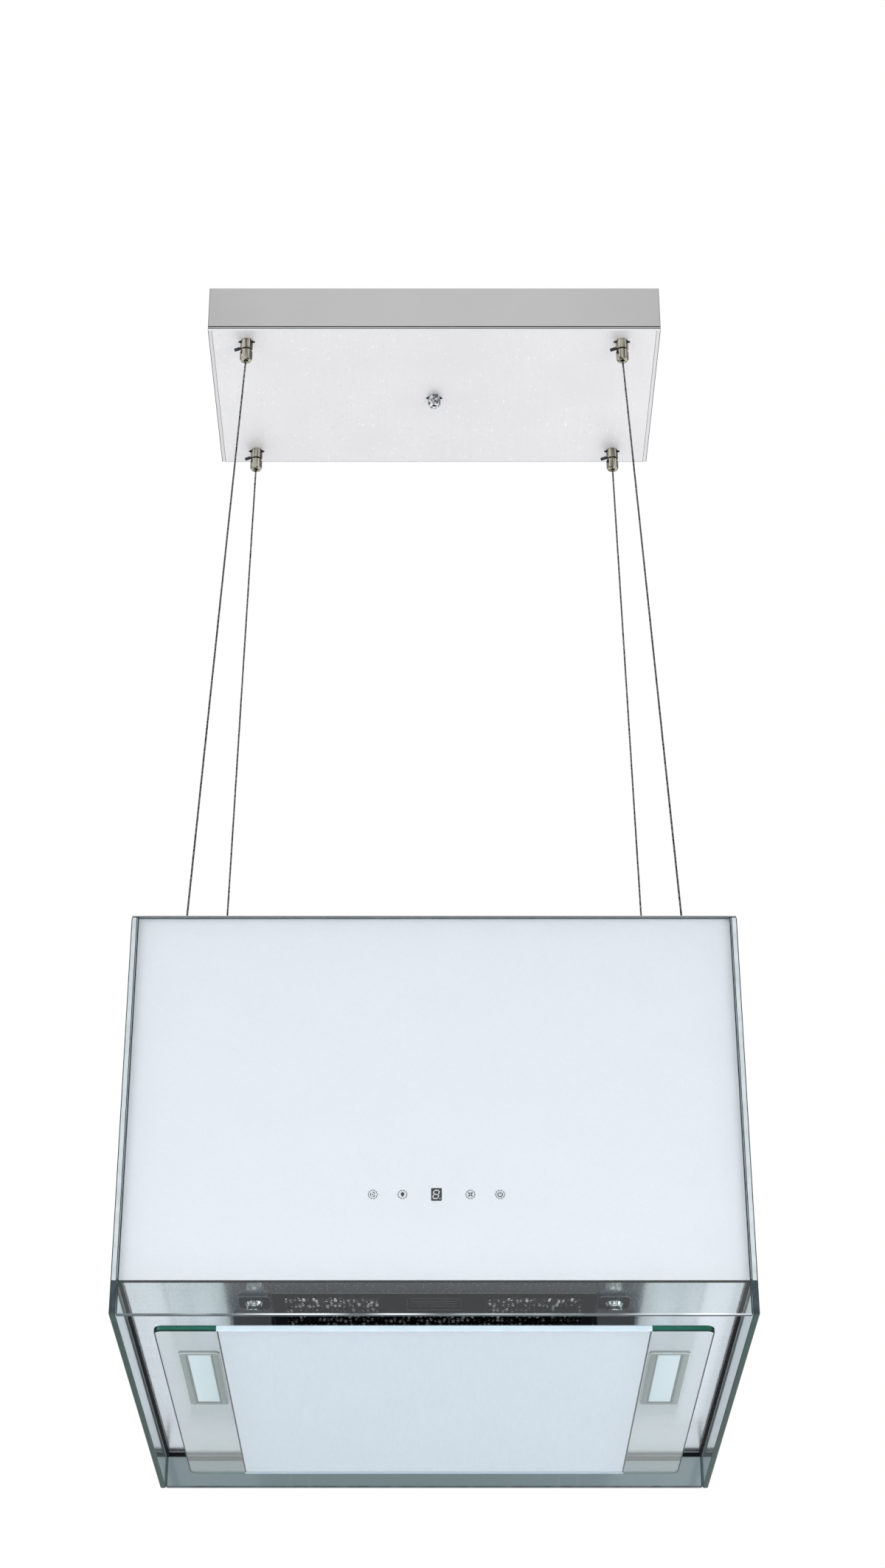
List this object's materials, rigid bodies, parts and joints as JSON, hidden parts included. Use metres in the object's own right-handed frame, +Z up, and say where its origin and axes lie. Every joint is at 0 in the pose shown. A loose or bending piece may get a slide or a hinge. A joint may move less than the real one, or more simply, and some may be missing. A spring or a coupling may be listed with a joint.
{
  "type": "island range hood",
  "caption": "Cable-hung island range hood: white printed glass body, glass suction plate, lamps, grease filter, blower and a stainless ceiling cover.",
  "frame": {"origin": "middle of the ceiling bracket's top face, which bears on the ceiling", "axes": "+Z up into the ceiling, -Y towards the front panel with the touch controls, +X to the right as seen from the front"},
  "size_m": [0.6, 0.55, 1.35],
  "materials": {
    "stainless": "brushed",
    "galvanised": "matt zinc",
    "nickel": "satin nickel",
    "chrome": "polished",
    "wire_rope": "twisted strands",
    "printed_glass": "clear glass, white print on the back",
    "lamp_lens": "frosted",
    "lamp_frame": "satin",
    "filter_steel": "dark, perforated",
    "seal": "matt",
    "dark_plastic": "fine grain",
    "charcoal": "matt",
    "circuit_board": "solder mask"
  },
  "bodies": {
    "ceiling": {"ceiling_bracket": "galvanised", "ceiling_cover": "stainless", "supply_gland": "chrome", "terminal_block": "dark_plastic", "gripper_front_left": "nickel", "gripper_front_right": "nickel", "gripper_rear_left": "nickel", "gripper_rear_right": "nickel", "lock_screw_front_left": "nickel", "lock_screw_front_right": "nickel", "lock_screw_rear_left": "nickel", "lock_screw_rear_right": "nickel", "cable_front_left": "wire_rope", "cable_front_right": "wire_rope", "cable_rear_left": "wire_rope", "cable_rear_right": "wire_rope"},
    "hood_body": {"cable_anchor_front_left": "nickel", "cable_anchor_front_right": "nickel", "cable_anchor_rear_left": "nickel", "cable_anchor_rear_right": "nickel", "glass_front": "printed_glass", "glass_rear": "printed_glass", "glass_left": "printed_glass", "glass_right": "printed_glass", "chassis_front": "galvanised", "chassis_rear": "galvanised", "chassis_left": "galvanised", "chassis_right": "galvanised", "top_panel": "stainless", "outlet_grille": "stainless", "cord_inlet": "dark_plastic", "base_panel": "stainless", "perimeter_seal": "seal", "filter_frame": "filter_steel", "filter_mesh": "filter_steel", "lamp_frame_left": "lamp_frame", "lamp_frame_right": "lamp_frame", "lamp_lens_left": "lamp_lens", "lamp_lens_right": "lamp_lens", "hinge_bracket_left": "galvanised", "hinge_bracket_right": "galvanised", "catch_knob_left": "chrome", "catch_knob_right": "chrome", "blower_housing": "galvanised", "fan_motor": "galvanised", "charcoal_filter_front": "charcoal", "charcoal_filter_rear": "charcoal", "electronics_box": "dark_plastic", "touch_board": "circuit_board"},
    "suction_plate": {"suction_plate": "printed_glass", "hinge_leaf_left": "galvanised", "hinge_leaf_right": "galvanised", "catch_socket_left": "dark_plastic", "catch_socket_right": "dark_plastic"},
    "impeller": {"impeller": "dark_plastic"},
    "filter_latch": {"filter_latch": "filter_steel"},
    "release_sleeve_front_left": {"release_sleeve_front_left": "nickel"},
    "release_sleeve_front_right": {"release_sleeve_front_right": "nickel"},
    "release_sleeve_rear_left": {"release_sleeve_rear_left": "nickel"},
    "release_sleeve_rear_right": {"release_sleeve_rear_right": "nickel"}
  },
  "joints": [
    {"name": "height_adjust", "type": "slide", "parent": "ceiling", "child": "hood_body", "axis": [0, 0, 1], "range_m": [0, 0.3], "deforming": ["cable_front_left", "cable_front_right", "cable_rear_left", "cable_rear_right"]},
    {"name": "suction_plate_hinge", "type": "hinge", "parent": "hood_body", "child": "suction_plate", "pos_m": [0, 0.208, -1.3355], "axis": [1, 0, 0], "range_deg": [0, 85]},
    {"name": "impeller_spin", "type": "hinge", "parent": "hood_body", "child": "impeller", "pos_m": [-0.095, 0, -1.15], "axis": [0, 1, 0], "continuous": true},
    {"name": "filter_latch_slide", "type": "slide", "parent": "hood_body", "child": "filter_latch", "axis": [0, 1, 0], "range_m": [0, 0.006], "stiffness_N_per_m": 250, "springref_m": -0.004},
    {"name": "release_sleeve_front_left_slide", "type": "slide", "parent": "ceiling", "child": "release_sleeve_front_left", "axis": [0, 0, 1], "range_m": [0, 0.002], "stiffness_N_per_m": 600, "springref_m": -0.003},
    {"name": "release_sleeve_front_right_slide", "type": "slide", "parent": "ceiling", "child": "release_sleeve_front_right", "axis": [0, 0, 1], "range_m": [0, 0.002], "stiffness_N_per_m": 600, "springref_m": -0.003},
    {"name": "release_sleeve_rear_left_slide", "type": "slide", "parent": "ceiling", "child": "release_sleeve_rear_left", "axis": [0, 0, 1], "range_m": [0, 0.002], "stiffness_N_per_m": 600, "springref_m": -0.003},
    {"name": "release_sleeve_rear_right_slide", "type": "slide", "parent": "ceiling", "child": "release_sleeve_rear_right", "axis": [0, 0, 1], "range_m": [0, 0.002], "stiffness_N_per_m": 600, "springref_m": -0.003}
  ]
}
